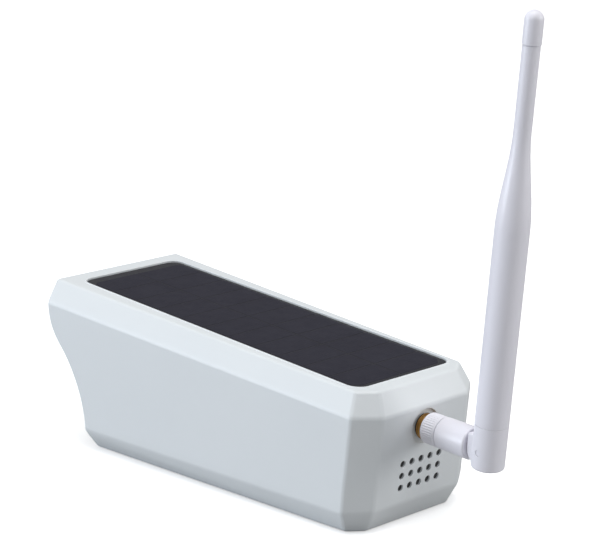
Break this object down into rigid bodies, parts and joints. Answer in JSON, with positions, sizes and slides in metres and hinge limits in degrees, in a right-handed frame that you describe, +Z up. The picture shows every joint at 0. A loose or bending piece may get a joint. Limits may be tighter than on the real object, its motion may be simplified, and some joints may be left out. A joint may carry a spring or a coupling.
{
  "type": "solar security camera",
  "caption": "Faceted outdoor camera with a solar panel in its sloping top, a hooded front, a rear loudspeaker grille and a hinged whip antenna.",
  "frame": {"origin": "middle of the flat underside, halfway along the housing", "axes": "+Z up; the lens looks along -Y; the antenna is at the +Y end; +X is across the housing"},
  "size_m": [0.0788, 0.2385, 0.2017],
  "materials": {
    "housing": "satin off-white moulded plastic",
    "solar": "dark laminated cells under a satin film",
    "panel_board": "glass-fibre board",
    "faceplate": "polished black",
    "antenna_plastic": "satin white with a faint violet cast",
    "gold_brass": "gold-flashed brass",
    "steel": "nickel-plated",
    "rubber": "black foam rubber",
    "silicone": "pale grey silicone",
    "window_glass": "coated glass",
    "inner_plastic": "black engineering plastic",
    "circuit_board": "green solder mask",
    "milky_plastic": "milky translucent",
    "lamp_resin": "tinted resin",
    "cell_wrap": "shrink sleeve",
    "cone_paper": "pressed paper"
  },
  "bodies": {
    "housing": {"housing_shell": "housing", "solar_laminate": "solar", "panel_backing": "panel_board", "faceplate": "faceplate", "antenna_jack": "gold_brass", "jack_nut": "gold_brass", "tripod_insert": "gold_brass", "chassis_screw_1": "steel", "chassis_screw_2": "steel", "chassis_screw_3": "steel", "chassis_screw_4": "steel", "face_screw_1": "steel", "face_screw_2": "steel", "face_screw_3": "steel", "face_screw_4": "steel", "jack_washer": "steel", "motion_sensor": "steel", "radio_module": "steel", "charging_socket": "steel", "card_socket": "steel", "speaker_basket": "steel", "speaker_magnet": "steel", "microphone": "steel", "faceplate_gasket": "rubber", "speaker_gasket": "rubber", "jack_seal": "rubber", "lens_window": "window_glass", "lens_barrel": "inner_plastic", "lens_holder": "inner_plastic", "chassis": "inner_plastic", "battery_holder": "inner_plastic", "reset_switch": "inner_plastic", "power_switch": "inner_plastic", "camera_board": "circuit_board", "sensor_board": "circuit_board", "main_board": "circuit_board", "port_board": "circuit_board", "motion_dome": "milky_plastic", "status_light_pipe": "milky_plastic", "infrared_led_1": "lamp_resin", "infrared_led_2": "lamp_resin", "infrared_led_3": "lamp_resin", "infrared_led_4": "lamp_resin", "light_sensor": "lamp_resin", "battery_cell_left": "cell_wrap", "battery_cell_right": "cell_wrap", "speaker_cone": "cone_paper"},
    "port_cover": {"port_cover": "silicone"},
    "reset_button": {"reset_button": "antenna_plastic"},
    "power_button": {"power_button": "antenna_plastic"},
    "coupling_nut": {"coupling_nut": "antenna_plastic", "coupling_nut_core": "gold_brass"},
    "elbow": {"elbow": "antenna_plastic", "plug_core": "gold_brass"},
    "whip": {"whip_base": "antenna_plastic", "hinge_pin": "antenna_plastic", "whip_sleeve": "antenna_plastic", "whip_cap": "antenna_plastic", "radiator": "gold_brass"}
  },
  "joints": [
    {"name": "antenna_swivel", "type": "hinge", "parent": "housing", "child": "elbow", "pos_m": [0, 0.091, 0.0394], "axis": [0, 0.9987, -0.0506], "continuous": true},
    {"name": "coupling_nut_spin", "type": "hinge", "parent": "housing", "child": "coupling_nut", "pos_m": [0, 0.091, 0.0394], "axis": [0, 0.9987, -0.0506], "continuous": true},
    {"name": "whip_tilt", "type": "hinge", "parent": "elbow", "child": "whip", "pos_m": [0, 0.12445, 0.03771], "axis": [1, 0, 0], "range_deg": [-86.6, 3.4]},
    {"name": "port_cover_hinge", "type": "hinge", "parent": "housing", "child": "port_cover", "pos_m": [0, -0.0218, 0.0003], "axis": [1, 0, 0], "range_deg": [0, 110]},
    {"name": "reset_press", "type": "slide", "parent": "housing", "child": "reset_button", "axis": [0, 0, 1], "range_m": [0, 0.0005], "stiffness_N_per_m": 150, "springref_m": -0.0005},
    {"name": "power_press", "type": "slide", "parent": "housing", "child": "power_button", "axis": [0, 0, 1], "range_m": [0, 0.0005], "stiffness_N_per_m": 150, "springref_m": -0.0005}
  ]
}
